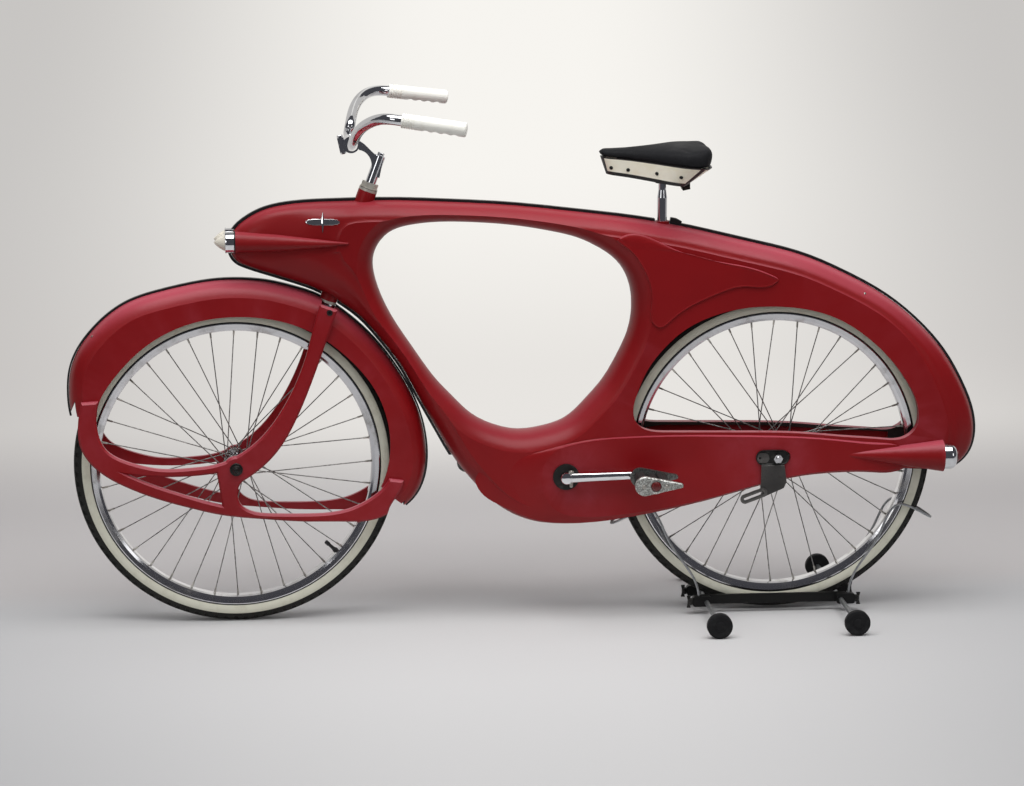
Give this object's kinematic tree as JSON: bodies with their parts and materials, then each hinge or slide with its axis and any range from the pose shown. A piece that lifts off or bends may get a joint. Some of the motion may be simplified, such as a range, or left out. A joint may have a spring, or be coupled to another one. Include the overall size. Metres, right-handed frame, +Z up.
{
  "type": "bicycle",
  "caption": "Streamlined pedal bicycle with a moulded shell frame, covered wheels, lamp pods and swept bars, its rear wheel held in a low display stand.",
  "frame": {"origin": "centre of the overall bounding box, on the floor", "axes": "+X forward, +Y to the rider's left, +Z up"},
  "size_m": [1.8759, 0.5996, 1.0761],
  "materials": {
    "red_shell": "gloss",
    "rubber_trim": "matte",
    "chrome": "polished",
    "nickel": "satin",
    "clear_lens": "frosted",
    "red_lens": "gloss",
    "tyre": "matte",
    "grip": "satin",
    "saddle_black": "satin",
    "saddle_cream": "satin",
    "black_steel": "satin",
    "grey_steel": "satin",
    "zinc": "satin",
    "foot_rubber": "matte",
    "pedal_metal": "satin"
  },
  "bodies": {
    "frame": {"body_left": "red_shell", "body_right": "red_shell", "body_trim": "rubber_trim", "headlamp_rings": "chrome", "headlamp_lenses": "clear_lens", "tail_lamp_rings": "chrome", "tail_lamp_lenses": "red_lens", "head_cups": "chrome", "rear_axle": "nickel", "axle_brackets": "grey_steel", "bb_cups": "black_steel", "seat_post": "chrome", "saddle_top": "saddle_black", "saddle_skirt": "saddle_cream", "saddle_clamp": "black_steel", "stand_rods": "zinc", "stand_feet": "foot_rubber", "stand_bars": "black_steel", "stand_hoops": "zinc", "stand_clamps": "black_steel"},
    "steering": {"fork_crown": "red_shell", "steerer": "nickel", "head_locknut": "nickel", "stem": "chrome", "handlebar": "chrome", "grips": "grip", "fender_left": "red_shell", "fender_right": "red_shell", "fender_trim": "rubber_trim", "fork_left": "red_shell", "fork_right": "red_shell", "front_axle": "nickel"},
    "front_wheel": {"front_tyre": "tyre", "front_rim": "chrome", "front_hub": "chrome", "front_spokes": "zinc"},
    "rear_wheel": {"rear_tyre": "tyre", "rear_rim": "chrome", "rear_hub": "chrome", "rear_spokes": "zinc"},
    "crankset": {"crank": "chrome", "pedal_spindles": "nickel"},
    "left_pedal": {"pedal_left": "pedal_metal"},
    "right_pedal": {"pedal_right": "pedal_metal"}
  },
  "joints": [
    {"name": "steering", "type": "hinge", "parent": "frame", "child": "steering", "pos_m": [0.407, 0, 0.6635], "axis": [-0.3469, 0, 0.9379], "range_deg": [-40, 40]},
    {"name": "front_wheel_spin", "type": "hinge", "parent": "steering", "child": "front_wheel", "pos_m": [0.598, 0, 0.33], "axis": [0, 1, 0], "continuous": true},
    {"name": "rear_wheel_spin", "type": "hinge", "parent": "frame", "child": "rear_wheel", "pos_m": [-0.512, 0, 0.334], "axis": [0, 1, 0], "continuous": true},
    {"name": "crank_spin", "type": "hinge", "parent": "frame", "child": "crankset", "pos_m": [-0.075, 0, 0.303], "axis": [0, 1, 0], "continuous": true},
    {"name": "left_pedal_spin", "type": "hinge", "parent": "crankset", "child": "left_pedal", "pos_m": [-0.245, 0.14, 0.307], "axis": [0, 1, 0], "continuous": true},
    {"name": "right_pedal_spin", "type": "hinge", "parent": "crankset", "child": "right_pedal", "pos_m": [0.095, -0.14, 0.299], "axis": [0, 1, 0], "continuous": true}
  ]
}
